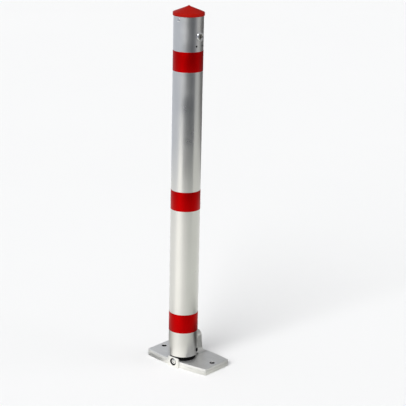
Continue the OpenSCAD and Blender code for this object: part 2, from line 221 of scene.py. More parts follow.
def tidy_normals(piece):
    """Merges doubles and turns the faces outwards."""
    edit(piece)
    bpy.ops.mesh.select_all(action="SELECT")
    bpy.ops.mesh.remove_doubles(threshold=0.00001)
    bpy.ops.mesh.normals_make_consistent(inside=False)
    done()
    return piece


def rounded(profile, steps=4):
    """Replaces each corner given as (across, up, radius) with an arc; other points stay."""
    points = []
    for i, corner in enumerate(profile):
        here = Vector(corner[:2])
        if len(corner) < 3:
            points.append(here)
            continue
        back = (Vector(profile[i - 1][:2]) - here).normalized()
        on = (Vector(profile[(i + 1) % len(profile)][:2]) - here).normalized()
        half = back.angle(on) / 2
        hub = here + (back + on).normalized() * corner[2] / math.sin(half)
        first = here + back * corner[2] / math.tan(half) - hub
        last = here + on * corner[2] / math.tan(half) - hub
        sweep = math.pi - 2 * half
        for s in range(steps + 1):
            part = s / steps
            arm = first * math.sin((1 - part) * sweep) + last * math.sin(part * sweep)
            points.append(hub + arm / math.sin(sweep))
    return points


def add_shape(kind, **settings):
    """Adds a primitive with nothing else selected and gives it back."""
    if bpy.context.object and bpy.context.object.mode != "OBJECT":
        bpy.ops.object.mode_set(mode="OBJECT")
    bpy.ops.object.select_all(action="DESELECT")
    getattr(bpy.ops.mesh, f"primitive_{kind}_add")(**settings)
    return bpy.context.object


def turned(name, profile, place=Matrix(), segments=96, ring=False):
    """A piece turned on a lathe: one ring of vertices is extruded along the profile of (radius, height).
    A ring profile closes on itself; any other profile gets a face over each end."""
    start = profile[0]
    piece = add_shape(
        "circle", vertices=segments, radius=start[0], location=(0, 0, start[1]), fill_type="NOTHING")
    piece.name = name
    settle(piece)
    edit(piece)
    bpy.ops.mesh.select_all(action="SELECT")
    if not ring:
        bpy.ops.mesh.duplicate()
        bpy.ops.mesh.edge_face_add()
        bpy.ops.mesh.select_all(action="DESELECT")
        pick(piece, lambda v: not v.link_faces)
    stops = list(profile[1:]) + ([start] if ring else [])
    radius, height = start
    for across, up in stops:
        bpy.ops.mesh.extrude_region_move(TRANSFORM_OT_translate={"value": (0, 0, up - height)})
        bpy.ops.transform.resize(value=(across / radius, across / radius, 1), center_override=(0, 0, up))
        radius, height = across, up
    if not ring:
        bpy.ops.mesh.edge_face_add()
    done()
    tidy_normals(piece)
    piece.matrix_world = place
    return settle(piece)


def facing(direction, spot):
    """The placement that stands a turned piece on a spot with its +Z along a direction."""
    turn = Vector(direction).to_track_quat("Z", "Y").to_matrix().to_4x4()
    return Matrix.Translation(spot) @ turn


def on_wall(angle, z, out=0.0):
    """The placement on the tube's wall at an angle from +X, with +Z pointing outwards."""
    aim = Vector((math.cos(angle), math.sin(angle), 0))
    return facing(aim, Vector((0, AXIS_Y, z)) + aim * (TUBE_R + out))


def boolean(piece, tool, operation="DIFFERENCE"):
    """Cuts, joins or keeps the overlap of a piece and a tool, and deletes the tool."""
    step = piece.modifiers.new("cut", "BOOLEAN")
    step.operation = operation
    step.solver = "EXACT"
    step.object = tool
    activate(piece)
    bpy.ops.object.modifier_apply(modifier=step.name)
    bpy.data.objects.remove(tool)
    return piece


def bevelled(piece, width, segments=3, angle=40):
    """Rounds the edges that are sharper than an angle."""
    step = piece.modifiers.new("edges", "BEVEL")
    step.limit_method = "ANGLE"
    step.angle_limit = math.radians(angle)
    step.width = width
    step.segments = segments
    activate(piece)
    bpy.ops.object.modifier_apply(modifier=step.name)
    return piece


def joined(piece, *others):
    """Joins other pieces into one."""
    activate(piece)
    for other in others:
        other.select_set(True)
    bpy.ops.object.join()
    return piece


def smooth(piece, weighted=False):
    """Shades a piece smooth but for its sharp edges. Weighted keeps flat faces flat beside rounded edges."""
    activate(piece)
    bpy.ops.object.shade_smooth_by_angle(angle=SMOOTH)
    if weighted:
        step = piece.modifiers.new("flat faces stay flat", "WEIGHTED_NORMAL")
        step.keep_sharp = True
        bpy.ops.object.modifier_apply(modifier=step.name)
    return piece


def finished(piece, body, slot, *nodes):
    """Gives a piece its slot's finish and its body, and hides the CAD nodes that it stands for."""
    piece.data.materials.clear()
    piece.data.materials.append(MATERIALS[slot])
    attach(piece, body)
    if nodes:
        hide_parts(*nodes)
    return piece


def pin_cutter(name, diameter, start, stop, place, chamfer=0.0):
    """A round cutter from one height to the next, with a chamfered mouth at its far end."""
    r = diameter / 2
    profile = [(r, start), (r, stop)]
    if chamfer:
        profile = [(r, start), (r, stop - chamfer), (r + chamfer, stop), (r + chamfer, stop + chamfer)]
    return turned(name, profile, place, segments=48)


def drilled(piece, diameter, start, stop, place, chamfer=0.0):
    """Drills a round hole through a piece."""
    return boolean(piece, pin_cutter("drill", diameter, start, stop, place, chamfer))


def socketed(piece, across_flats, depth, place):
    """Sinks a hexagonal socket into a screw's head, straight down from the place."""
    radius = across_flats / 2 / math.cos(math.radians(30))
    tool = add_shape("cylinder", vertices=6, radius=radius, depth=depth * 2)
    tool.matrix_world = place
    return boolean(piece, settle(tool))


# ---- materials ----

def add_node(tree, kind, values=None, links=None, **settings):
    """Adds one shader node with its settings, its input values and its links."""
    made = tree.nodes.new(kind)
    for key, value in settings.items():
        setattr(made, key, value)
    for key, value in (values or {}).items():
        made.inputs[key].default_value = value
    for key, source in (links or {}).items():
        tree.links.new(source, made.inputs[key])
    return made


def blank(name):
    """An empty material, its tree, and the mapping of object coordinates in millimetres."""
    material = bpy.data.materials.new(name)
    material.use_nodes = True
    tree = material.node_tree
    tree.nodes.clear()
    place = add_node(tree, "ShaderNodeTexCoord")
    grid = add_node(
        tree, "ShaderNodeMapping", {"Scale": (1 / MM,) * 3}, {"Vector": place.outputs["Object"]})
    return material, tree, grid.outputs["Vector"]


def shade(tree, links, **values):
    """Ends a tree with a Principled shader and its output."""
    shader = add_node(tree, "ShaderNodeBsdfPrincipled", values, links)
    add_node(tree, "ShaderNodeOutputMaterial", links={"Surface": shader.outputs["BSDF"]})


def stretched(tree, grid, scale):
    """The grid with its axes scaled, so that a pattern runs long where the scale is small."""
    return add_node(tree, "ShaderNodeMapping", {"Scale": scale}, {"Vector": grid}).outputs["Vector"]


def mixed(tree, factor, dark, light):
    """Runs from one colour to another with a factor."""
    return add_node(
        tree, "ShaderNodeMix", {"A": (*dark, 1), "B": (*light, 1)}, {"Factor": factor}, data_type="RGBA"
    ).outputs["Result"]


def blended(tree, share, first, second):
    """Mixes two colour outputs by a fixed share."""
    return add_node(
        tree, "ShaderNodeMix", {"Factor": share}, {"A": first, "B": second}, data_type="RGBA"
    ).outputs["Result"]


def toned(base, factor):
    """A linear colour made darker or lighter, and never past white."""
    return [min(1.0, c * factor) for c in base]


def satin_anodised_aluminium(base):
    """Drawn tube with a satin anodised skin: a soft grey sheen with faint lines along the tube and
    slow patches where the skin is a little duller."""
    material, tree, grid = blank("satin_anodised_aluminium")
    # Drawing lines 0.6 mm apart round the tube and some 100 mm long, coarser than real so they show
    lines = add_node(tree, "ShaderNodeTexNoise", {"Scale": 1.6, "Detail": 3.0, "Roughness": 0.6},
                     {"Vector": stretched(tree, grid, (1, 1, 0.006))})
    # Handling patches about 60 mm wide
    patches = add_node(tree, "ShaderNodeTexNoise", {"Scale": 0.016, "Detail": 2.0}, {"Vector": grid})
    tint = mixed(tree, lines.outputs["Fac"], toned(base, 0.93), toned(base, 1.05))
    rough = add_node(tree, "ShaderNodeMapRange",
                     {"From Min": 0.3, "From Max": 0.7, "To Min": 0.27, "To Max": 0.36},
                     {"Value": patches.outputs["Fac"]})
    bump = add_node(tree, "ShaderNodeBump", {"Strength": 0.05, "Distance": 0.05 * MM},
                    {"Height": lines.outputs["Fac"]})
    shade(tree, {"Base Color": tint, "Roughness": rough.outputs["Result"], "Normal": bump.outputs["Normal"]},
          **{"Metallic": 1.0})
    return material


def shot_blasted_casting(base):
    """Die-cast aluminium, linished and blasted: a light grey skin with a fine grain, faint linishing
    lines along the plate and slow tone changes left by the casting."""
    material, tree, grid = blank("shot_blasted_casting")
    # Blast grain 0.5 mm across
    grain = add_node(
        tree, "ShaderNodeTexNoise", {"Scale": 1.9, "Detail": 4.0, "Roughness": 0.65}, {"Vector": grid})
    # Linishing lines 2 mm apart and some 40 mm long, drawn coarser than real so they show
    lines = add_node(tree, "ShaderNodeTexNoise", {"Scale": 0.5, "Detail": 2.0},
                     {"Vector": stretched(tree, grid, (0.05, 1, 1))})
    # Flow marks some 20 mm long
    flow = add_node(tree, "ShaderNodeTexNoise", {"Scale": 0.05, "Detail": 3.0, "Distortion": 0.6},
                    {"Vector": stretched(tree, grid, (0.5, 1, 1))})
    tone = mixed(tree, flow.outputs["Fac"], toned(base, 0.84), toned(base, 1.06))
    streak = mixed(tree, lines.outputs["Fac"], toned(base, 0.72), toned(base, 1.18))
    tint = blended(tree, 0.5, tone, streak)
    rough = add_node(
        tree, "ShaderNodeMapRange", {"To Min": 0.38, "To Max": 0.54}, {"Value": grain.outputs["Fac"]})
    bump = add_node(tree, "ShaderNodeBump", {"Strength": 0.3, "Distance": 0.1 * MM},
                    {"Height": grain.outputs["Fac"]})
    score = add_node(tree, "ShaderNodeBump", {"Strength": 0.25, "Distance": 0.25 * MM},
                     {"Height": lines.outputs["Fac"], "Normal": bump.outputs["Normal"]})
    shade(tree, {"Base Color": tint, "Roughness": rough.outputs["Result"],
                 "Normal": score.outputs["Normal"]}, **{"Metallic": 0.85})
    return material


def reflective_film(base):
    """Red metallised prismatic sheeting: deep red with a soft metallic depth, and the faint cell
    pattern that seals the sheet."""
    material, tree, grid = blank("reflective_film")
    # Sealing cells 4 mm across
    cells = add_node(
        tree, "ShaderNodeTexVoronoi", {"Scale": 0.25}, {"Vector": grid}, feature="DISTANCE_TO_EDGE")
    wall = add_node(tree, "ShaderNodeMapRange", {"From Max": 0.05, "To Min": 1.0, "To Max": 0.0},
                    {"Value": cells.outputs["Distance"]})
    beads = add_node(tree, "ShaderNodeTexNoise", {"Scale": 2.2, "Detail": 2.0}, {"Vector": grid})
    face = mixed(tree, beads.outputs["Fac"], toned(base, 0.92), toned(base, 1.06))
    tint = mixed(tree, wall.outputs["Result"], base, toned(base, 1.35))
    bump = add_node(tree, "ShaderNodeBump", {"Strength": 0.05, "Distance": 0.03 * MM},
                    {"Height": wall.outputs["Result"]})
    shade(tree, {"Base Color": blended(tree, 0.4, face, tint), "Normal": bump.outputs["Normal"]},
          **{"Roughness": 0.42, "Metallic": 0.88, "Specular IOR Level": 0.1})
    return material


def moulded_plastic(name, base, roughness, grain_scale, grain_depth, variation=0.06, gloss=0.5):
    """Injection-moulded plastic: an even colour with a fine moulded grain and a soft sheen."""
    material, tree, grid = blank(name)
    grain = add_node(tree, "ShaderNodeTexNoise", {"Scale": grain_scale, "Detail": 3.0}, {"Vector": grid})
    cloud = add_node(tree, "ShaderNodeTexNoise", {"Scale": 0.06, "Detail": 2.0}, {"Vector": grid})
    tint = mixed(tree, cloud.outputs["Fac"], toned(base, 1 - variation), toned(base, 1 + variation))
    rough = add_node(tree, "ShaderNodeMapRange", {"To Min": roughness - 0.05, "To Max": roughness + 0.05},
                     {"Value": grain.outputs["Fac"]})
    bump = add_node(tree, "ShaderNodeBump", {"Strength": 0.2, "Distance": grain_depth},
                    {"Height": grain.outputs["Fac"]})
    shade(tree, {"Base Color": tint, "Roughness": rough.outputs["Result"], "Normal": bump.outputs["Normal"]},
          **{"IOR": 1.5, "Specular IOR Level": gloss})
    return material


def worked_metal(name, code, roughness, lines=(1, 1, 1), line_scale=1.2, depth=0.03 * MM, metallic=1.0):
    """Bare or plated metal: its own colour with fine tool or wire marks that run one way."""
    base = linear(code)
    material, tree, grid = blank(name)
    marks = add_node(tree, "ShaderNodeTexNoise", {"Scale": line_scale, "Detail": 3.0, "Roughness": 0.6},
                     {"Vector": stretched(tree, grid, lines)})
    tint = mixed(tree, marks.outputs["Fac"], toned(base, 0.9), toned(base, 1.06))
    rough = add_node(tree, "ShaderNodeMapRange", {"To Min": roughness * 0.8, "To Max": roughness * 1.2},
                     {"Value": marks.outputs["Fac"]})
    bump = add_node(tree, "ShaderNodeBump", {"Strength": 0.15, "Distance": depth},
                    {"Height": marks.outputs["Fac"]})
    shade(tree, {"Base Color": tint, "Roughness": rough.outputs["Result"], "Normal": bump.outputs["Normal"]},
          **{"Metallic": metallic})
    return material


def make_materials():
    """Every finish of the bollard by its slot in the record."""
    c = colours()
    return {
        "cast_aluminium": shot_blasted_casting(list(c.casting)),
        "anodised_aluminium": satin_anodised_aluminium(list(c.tube)),
        "red_reflective_film": reflective_film(list(c.film)),
        # Matt moulded cap, a little orange-red
        "red_plastic": moulded_plastic("red_moulded_cap", list(c.cap), 0.45, 1.2, 0.04 * MM, gloss=0.05),
        # Glass-filled nylon, dull black
        "black_nylon": moulded_plastic("black_nylon", list(c.nylon), 0.6, 1.4, 0.08 * MM, gloss=0.1),
        "natural_nylon": moulded_plastic("natural_nylon", linear("#E4E1D4"), 0.45, 1.5, 0.03 * MM),
        "grey_nylon": moulded_plastic("grey_nylon", linear("#3A3C3F"), 0.5, 1.5, 0.05 * MM),
        # Chemically blackened steel: near black with a low oily shine
        "black_oxide_steel": worked_metal("black_oxide_steel", "#1B1C1E", 0.42),
        # Polished stainless with a trace of turning marks
        "stainless_steel": worked_metal("polished_stainless", "#D6D6D6", 0.16, (3, 0.3, 3)),
        # Bright zinc plate, slightly blue, with a fine crystal bloom
        "zinc_plated_steel": worked_metal("zinc_plated_steel", "#BFC3C6", 0.3),
        # Hardened and ground steel with marks round the shank
        "hardened_steel": worked_metal("ground_steel", "#8E9195", 0.28, (0.2, 0.2, 3)),
        "spring_steel": worked_metal("drawn_spring_wire", "#7C7F83", 0.35),
        # Oil-filled sintered bronze, matt and brown
        "bronze": worked_metal("sintered_bronze", "#A8844E", 0.5, line_scale=2.0),
        # Bright chrome over die-cast zinc
        "chromed_zinc": worked_metal("chromed_zinc", "#D4D5D8", 0.14, line_scale=0.4, depth=0.02 * MM),
        # Satin nickel plate, a warm mid grey
        "nickel_plated_brass": worked_metal("satin_nickel", "#8E8C86", 0.34, (0.3, 3, 3)),
        # Painted shade for the casting's drilled holes and recesses: a near-black, rough surface that stands
        # in for the shade inside them
        "bores": worked_metal("unfinished_bores", "#161514", 0.7, line_scale=2.0, metallic=0.4),
        # Rivet aluminium, bright from the heading tool
        "bare_aluminium": worked_metal("headed_aluminium", "#CFD1D4", 0.24),
    }


# Filled by main, once the colours exist
MATERIALS = {}


# ---- base ----

def bowed_outline():
    """A closed ring of edges: a rectangle whose long sides bow outwards, with small round corners."""
    s = sizes()
    length = extent("base_plate").x
    half_end = s.end_width / 2
    bow = high("base_plate").y - half_end
    columns = 32
    outline = add_shape("plane", size=1)
    outline.name = "plate"
    outline.scale = (length, s.end_width, 1)
    settle(outline)
    edit(outline, "EDGE")
    pick(outline, lambda e: abs(e.verts[0].co.y - e.verts[1].co.y) < 1e-6, "edges")
    bpy.ops.mesh.subdivide(number_cuts=columns - 1)
    bpy.ops.mesh.select_mode(type="VERT")
    for i in range(1, columns):
        x = length * (i / columns - 0.5)
        reach = bow * (1 - (2 * x / length) ** 2)
        pick(outline, lambda v: abs(v.co.x - x) < 1e-5)
        bpy.ops.transform.resize(value=(1, 1 + reach / half_end, 1), center_override=(x, 0, 0))
    pick(outline, lambda v: abs(abs(v.co.x) - length / 2) < 1e-6)
    bpy.ops.mesh.bevel(offset=3 * MM, segments=5, affect="VERTICES")
    bpy.ops.mesh.select_all(action="SELECT")
    bpy.ops.mesh.dissolve_limited(angle_limit=math.radians(1), use_dissolve_boundaries=False)
    bpy.ops.mesh.select_all(action="SELECT")
    bpy.ops.mesh.delete(type="ONLY_FACE")
    done()
    return outline


def stacked(piece, rings, half):
    """Extrudes a closed ring of edges upwards through rings of (inset, height), and closes both ends.
    Half is half the outline's length and width, from which the insets are taken."""
    edit(piece)
    bpy.ops.mesh.select_all(action="SELECT")
    bpy.ops.mesh.edge_face_add()
    bpy.ops.mesh.select_mode(type="FACE")
    bpy.ops.mesh.select_all(action="SELECT")
    inset, height = rings[0]
    for next_inset, next_height in rings[1:]:
        grow = [(h - next_inset) / (h - inset) for h in half]
        bpy.ops.mesh.extrude_region_move(TRANSFORM_OT_translate={"value": (0, 0, next_height - height)})
        bpy.ops.transform.resize(value=(*grow, 1), center_override=(0, 0, next_height))
        inset, height = next_inset, next_height
    done()
    return tidy_normals(piece)


def plate():
    """The plate: a groove runs round it at the mould's parting line, and its edges are rounded."""
    s = sizes()
    half = (extent("base_plate").x / 2, high("base_plate").y)
    top, edge, draft = PLATE_T, s.cast_edge, s.cast_draft
    # The groove where the two halves of the mould met
    seam, reach, depth = top - 7 * MM, 0.8 * MM, 1.3 * MM
    # Rings of (inset, height): the lower edge, the groove, the upper edge
    rings = [(edge + draft, 0.0)]
    for i in range(1, 4):
        a = math.radians(30 * i)
        rings.append((draft + edge * (1 - math.sin(a)), edge * (1 - math.cos(a))))
    rings += [(0.1 * MM, seam - reach - 0.4 * MM), (depth, seam - reach), (depth, seam + reach),
              (0.0, seam + reach + 0.4 * MM)]
    for i in range(4):
        a = math.radians(30 * i)
        rings.append((draft * 0.5 + edge * (1 - math.cos(a)), top - edge + edge * math.sin(a)))
    piece = bowed_outline()
    edit(piece)
    bpy.ops.mesh.select_all(action="SELECT")
    first = rings[0][0]
    bpy.ops.transform.resize(value=((half[0] - first) / half[0], (half[1] - first) / half[1], 1),
                             center_override=(0, 0, 0))
    done()
    return stacked(piece, rings, half)


def ear():
    """The hinge ear: a round-topped block with fillets that run out onto the plate."""
    s = sizes()
    half_w = (high("pivot_bolt").x - low("pivot_bolt").x) / 2 + 5 * MM
    foot = EAR_Y + s.ear_depth + s.ear_draft
    # The rear fillet stops short of the plate's rounded edge
    rim = 3.2 * MM
    rear_fillet = min(s.root_fillet, high("base_plate").y - foot - rim)
    sunk, steps = 3 * MM, 8
    arch_steps, arch_step = 15, 5.8
    rounding = 1.3 * MM
    rings = []
    for i in range(steps + 1):
        a = math.radians(90 * i / steps)
        z = PLATE_T + s.root_fillet * (1 - math.cos(a))
        side = s.root_fillet * (1 - math.sin(a))
        up = min((z - PLATE_T) / rear_fillet, 1.0)
        rear = rear_fillet * (1 - math.sqrt(1 - (1 - up) ** 2))
        rings.append((half_w + side, foot - s.ear_draft * (z - PLATE_T) / (PIVOT_Z - PLATE_T) + rear, z))
    # The lowest rings lie inside the plate, clear of its top face
    wide, back, z = rings[0]
    rings[:1] = [(wide, back, PLATE_T - sunk), (wide, back, PLATE_T - 0.05 * MM)]
    for i in range(arch_steps):
        a = math.radians(arch_step * i)
        rings.append((half_w * math.cos(a), EAR_Y + s.ear_depth, PIVOT_Z + half_w * math.sin(a)))
    wide, back, z = rings[0]
    piece = add_shape("plane", size=1, location=(0, (EAR_Y + back) / 2, z))
    piece.name = "ear"
    piece.scale = (2 * wide, back - EAR_Y, 1)
    settle(piece)
    edit(piece, "FACE")
    bpy.ops.mesh.select_all(action="SELECT")
    for next_wide, next_back, next_z in rings[1:]:
        bpy.ops.mesh.extrude_region_move(TRANSFORM_OT_translate={"value": (0, 0, next_z - z)})
        grow = (next_wide / wide, (next_back - EAR_Y) / (back - EAR_Y), 1)
        bpy.ops.transform.resize(value=grow, center_override=(0, EAR_Y, next_z))
        wide, back, z = next_wide, next_back, next_z
    done()
    tidy_normals(piece)
    # The outline's edges are rounded down to where the fillet runs out
    edit(piece, "EDGE")
    pick(piece, lambda e: e.calc_face_angle(0) > math.radians(40)
         and all(v.co.z > PLATE_T + 1.5 * MM for v in e.verts), "edges")
    bpy.ops.mesh.bevel(offset=rounding, segments=3)
    done()
    return piece


def lug():
    """The front lug under the tube's rim, with a ramp that clears the rim as the post folds."""
    s = sizes()
    lip_back = low("hinge_core").y
    inside = AXIS_Y - 10 * MM
    step = PLATE_T - 0.4 * MM
    ramp = 2.4 * MM
    lift = 0.3 * MM
    block = add_shape("cube", size=1, location=(0, (LUG_Y + inside) / 2, (lift + step) / 2))
    block.name = "lug"
    block.scale = (s.lug_width, inside - LUG_Y, step - lift)
    settle(block)
    edit(block, "FACE")
    bpy.ops.mesh.select_all(action="SELECT")
    bpy.ops.mesh.bisect(plane_co=(0, lip_back, 0), plane_no=(0, 1, 0))
    pick(block, lambda f: f.normal.z > 0.9 and f.calc_center_median().y < lip_back, "faces")
    bpy.ops.mesh.extrude_region_move(TRANSFORM_OT_translate={"value": (0, 0, s.lug_top - step)})
    bpy.ops.mesh.select_mode(type="VERT")
    pick(block, lambda v: v.co.z > s.lug_top - 0.1 * MM and v.co.y > lip_back - 0.1 * MM)
    bpy.ops.transform.translate(value=(0, 0, -ramp))
    bpy.ops.mesh.select_mode(type="EDGE")
    pick(block, lambda e: all(v.co.y < LUG_Y + 0.1 * MM for v in e.verts)
         and abs(e.verts[0].co.x - e.verts[1].co.x) < 1e-6, "edges")
    bpy.ops.mesh.bevel(offset=2.6 * MM, segments=5)
    pick(block, lambda e: all(v.co.z > s.lug_top - ramp - 0.1 * MM for v in e.verts)
         and not all(v.co.y > lip_back - 0.1 * MM for v in e.verts)
         and any(f.normal.z < 0.2 for f in e.link_faces), "edges")
    bpy.ops.mesh.bevel(offset=1 * MM, segments=3)
    done()
    return tidy_normals(block)


class BOLLARD_OT_base_casting(bpy.types.Operator):
    """Casts the base: plate, hinge ear and front lug in one piece, drilled for its bolts and bushes"""
    bl_idname = "bollard.base_casting"
    bl_label = "Base casting"

    def execute(self, context):
        s = sizes()
        piece = plate()
        piece.name = "base_casting"
        boolean(piece, ear(), "UNION")
        boolean(piece, lug(), "UNION")
        up, back, front = (0, 0, 1), (0, 1, 0), (0, -1, 0)
        for side in (-1, 1):
            spot = (side * s.anchor_spacing / 2, 0, 0)
            drilled(piece, s.anchor_d, -2 * MM, PLATE_T, facing(up, spot), 0.7 * MM)
        bush = extent("pivot_bush")
        spot = (0, EAR_Y, PIVOT_Z)
        drilled(piece, bush.x - 2 * MM, -4 * MM, bush.y + 1 * MM, facing(back, spot))
        recess = high("pivot_bush").y - 1.2 * MM
        depth = s.ear_depth + EAR_Y - recess
        spot = (0, recess, PIVOT_Z)
        head = extent("pivot_bolt").x + PIVOT_ROOM
        drilled(piece, head, 0, depth, facing(back, spot), 0.6 * MM)
        spot = (0, ROD_Y, PLATE_T)
        drilled(piece, extent("keeper_bush").x, -PLATE_T + 4 * MM, 0, facing(up, spot), 0.5 * MM)
        drilled(piece, 6 * MM, -2 * MM, 9 * MM, facing(up, (0, ROD_Y, 0)))
        spot = (0, LUG_Y + KEEPER_RECESS, centre("keeper_screw").z)
        keeper = extent("keeper_screw").x + KEEPER_ROOM
        drilled(piece, keeper, 0, KEEPER_RECESS, facing(front, spot), 0.6 * MM)
        drilled(piece, 6 * MM, -12 * MM, 1 * MM, facing(front, spot))
        smooth(piece, weighted=True)
        finished(piece, "base", "cast_aluminium", "base_plate")
        # The holes and recesses get painted shade
        self.paint_bore_shade(piece)
        return {"FINISHED"}

    def paint_bore_shade(self, piece):
        """Paints shade on the walls and floors of the holes and recesses with a near-black second material.
        """
        s = sizes()
        # Painted shade: a near-black second material for the faces inside the holes and recesses
        piece.data.materials.append(MATERIALS["bores"])
        edge = 0.2 * MM
        anchor = s.anchor_d / 2 + edge
        recess = (extent("pivot_bolt").x + PIVOT_ROOM) / 2 + edge
        keeper = (extent("keeper_screw").x + KEEPER_ROOM) / 2 + edge
        screw_z = centre("keeper_screw").z
        for face in piece.data.polygons:
            x, y, z = face.center
            inside = (
                math.hypot(abs(x) - s.anchor_spacing / 2, y) < anchor and z < PLATE_T - 0.8 * MM
                or math.hypot(x, z - PIVOT_Z) < recess and y > EAR_Y and y < EAR_Y + s.ear_depth - 0.6 * MM
                or math.hypot(x, z - screw_z) < keeper and LUG_Y + 0.6 * MM < y < LUG_Y + 12 * MM)
            if inside:
                face.material_index = 1


class BOLLARD_OT_keeper_screw(bpy.types.Operator):
    """Turns the domed screw in the front lug, with its hexagonal socket"""
    bl_idname = "bollard.keeper_screw"
    bl_label = "Keeper screw"

    def execute(self, context):
        r = extent("keeper_screw").x / 2
        seat = LUG_Y + KEEPER_RECESS
        head = seat - low("keeper_screw").y
        shank = high("keeper_screw").y - seat
        profile = [(2.2 * MM, -shank), (3 * MM, -shank + 0.8 * MM), (3 * MM, 0), (r - 0.3 * MM, 0),
                   (r, 0.3 * MM)]
        for i in range(1, 9):
            a = math.radians(10 * i)
            profile.append((r * math.cos(a), 0.5 * MM + (head - 0.5 * MM) * math.sin(a)))
        place = facing((0, -1, 0), (0, seat, centre("keeper_screw").z))
        piece = turned("keeper_screw_head", profile, place, 64)
        top = place @ Matrix.Translation((0, 0, head))
        socketed(piece, 6 * MM, 2.6 * MM, top)
        smooth(bevelled(piece, 0.15 * MM, 2), weighted=True)
        finished(piece, "base", "stainless_steel", "keeper_screw")
        return {"FINISHED"}


# ---- post ----

def swing_tool():
    """What the tube and its core lose on the folding side: all that lies outside the swing radius."""
    reach = PIVOT_Z - PLATE_T - 0.8 * MM
    tool = add_shape("cube", size=1, location=(-2 * TUBE_R, AXIS_Y, PIVOT_Z / 2))
    tool.scale = (4 * TUBE_R, 4 * TUBE_R, PIVOT_Z)
    settle(tool)
    place = facing((0, 1, 0), (0, AXIS_Y - 4 * TUBE_R, PIVOT_Z))
    return boolean(tool, turned("swing", [(reach, 0), (reach, 8 * TUBE_R)], place, 256))


class BOLLARD_OT_post_tube(bpy.types.Operator):
    """Cuts the post tube to length, rounds its rim and drills it for the hinge and lock"""
    bl_idname = "bollard.post_tube"
    bl_label = "Post tube"

    def execute(self, context):
        s = sizes()
        inner = TUBE_R - s.wall
        e = s.tube_edge
        length = TUBE_TOP - TUBE_BOTTOM
        profile = rounded([(TUBE_R, 0, e), (TUBE_R, length, e), (inner, length, e), (inner, 0, e)], 3)
        place = Matrix.Translation((0, AXIS_Y, TUBE_BOTTOM))
        piece = turned("post_tube", profile, place, 256, ring=True)
        boolean(piece, swing_tool())
        drilled(piece, BOSS_D, -20 * MM, 4 * MM, on_wall(math.pi / 2, PIVOT_Z))
        lock = centre("lock_barrel").z
        drilled(piece, extent("lock_nut").y - 4.6 * MM, -20 * MM, 4 * MM, on_wall(0, lock))
        screw_z = centre("lock_screws").z
        for angle in wall_angles("lock_screws"):
            place = on_wall(angle, screw_z)
            drilled(piece, extent("lock_screws").z + 0.2 * MM, -9 * MM, 3 * MM, place)
        smooth(piece)
        finished(piece, "post", "anodised_aluminium", "tube")
        return {"FINISHED"}


class BOLLARD_OT_bands(bpy.types.Operator):
    """Wraps the three reflective bands round the tube, each lapped at a seam behind"""
    bl_idname = "bollard.bands"
    bl_label = "Reflective bands"

    def execute(self, context):
        s = sizes()
        seam = math.radians(100)
        half_lap = s.film_lap / 2 / TUBE_R
        for node in ("band_lower", "band_middle", "band_upper"):
            z, height = low(node).z, extent(node).z
            outer = TUBE_R + s.film
            soft = s.film * 0.45
            inner = TUBE_R + 0.03 * MM
            wrap = rounded([(outer, 0, soft), (outer, height, soft), (inner, height), (inner, 0)], 3)
            place = Matrix.Translation((0, AXIS_Y, z))
            piece = turned(f"reflective_{node}", wrap, place, 256, ring=True)
            top = outer + s.film * 0.8
            lap = rounded([(top, 0.4 * MM, soft / 2), (top, height - 0.3 * MM, soft / 2),
                           (outer - 0.05 * MM, height - 0.3 * MM), (outer - 0.05 * MM, 0.4 * MM)], 2)
            flap = turned("flap", lap, place, 256, ring=True)
            edit(flap)
            for turn, side in ((seam - half_lap, 1), (seam + half_lap, -1)):
                bpy.ops.mesh.select_all(action="SELECT")
                normal = Vector((-math.sin(turn), math.cos(turn), 0)) * side
                bpy.ops.mesh.bisect(
                    plane_co=(0, AXIS_Y, z), plane_no=normal, use_fill=True, clear_inner=True)
            done()
            joined(piece, flap)
            smooth(piece)
            finished(piece, "post", "red_reflective_film", node)
        return {"FINISHED"}


class BOLLARD_OT_cap(bpy.types.Operator):
    """Moulds the conical cap with its rim, skirt and small gate button, and sets its rivet"""
    bl_idname = "bollard.cap"
    bl_label = "Cap"

    def execute(self, context):
        r = extent("cap").x / 2
        bottom, tip = low("cap").z, high("cap").z
        rim = TUBE_TOP - 6 * MM
        edge = rim + 8 * MM
        skirt = TUBE_R - sizes().wall - 0.15 * MM
        inner = skirt - 2.5 * MM
        slope = (tip - edge) / r
        button = 2.2 * MM
        thick = 4.5 * MM
        seat = TUBE_TOP + 0.3 * MM
        # From the underside of the cone, down the skirt, out under the rim and up to the tip
        outline = rounded([
            (0.4 * MM, tip - thick), (inner, tip - thick - slope * inner, 1 * MM), (inner, bottom),
            (skirt, bottom, 0.6 * MM), (skirt, seat), (TUBE_R + 0.15 * MM, seat),
            (TUBE_R + 0.15 * MM, rim), (r, rim, 0.7 * MM),
            (r, edge, 1.6 * MM), (button + 0.6 * MM, tip - 0.9 * MM - slope * button, 0.5 * MM),
            (button, tip - 0.35 * MM, 0.3 * MM), (0.4 * MM, tip)], 5)
        piece = turned("cap_moulding", outline, Matrix.Translation((0, AXIS_Y, 0)), 192)
        rivet_z = centre("cap_rivet").z
        drilled(piece, 4.9 * MM, -9 * MM, 2 * MM, on_wall(-math.pi / 2, rivet_z))
        smooth(piece)
        finished(piece, "post", "red_plastic", "cap")
        head = extent("cap_rivet").x / 2
        rise = AXIS_Y - TUBE_R - low("cap_rivet").y
        profile = [(2.0 * MM, -7.5 * MM), (2.4 * MM, -7 * MM), (2.4 * MM, 0), (head, 0), (head, 0.25 * MM)]
        for i in range(1, 7):
            a = math.radians(12 * i)
            profile.append((head * math.cos(a), 0.25 * MM + (rise - 0.25 * MM) * math.sin(a)))
        profile += [(1.35 * MM, rise), (1.2 * MM, rise - 0.9 * MM)]
        rivet = turned("cap_rivet_head", profile, on_wall(-math.pi / 2, rivet_z), 48)
        smooth(rivet)
        finished(rivet, "post", "bare_aluminium", "cap_rivet")
        return {"FINISHED"}


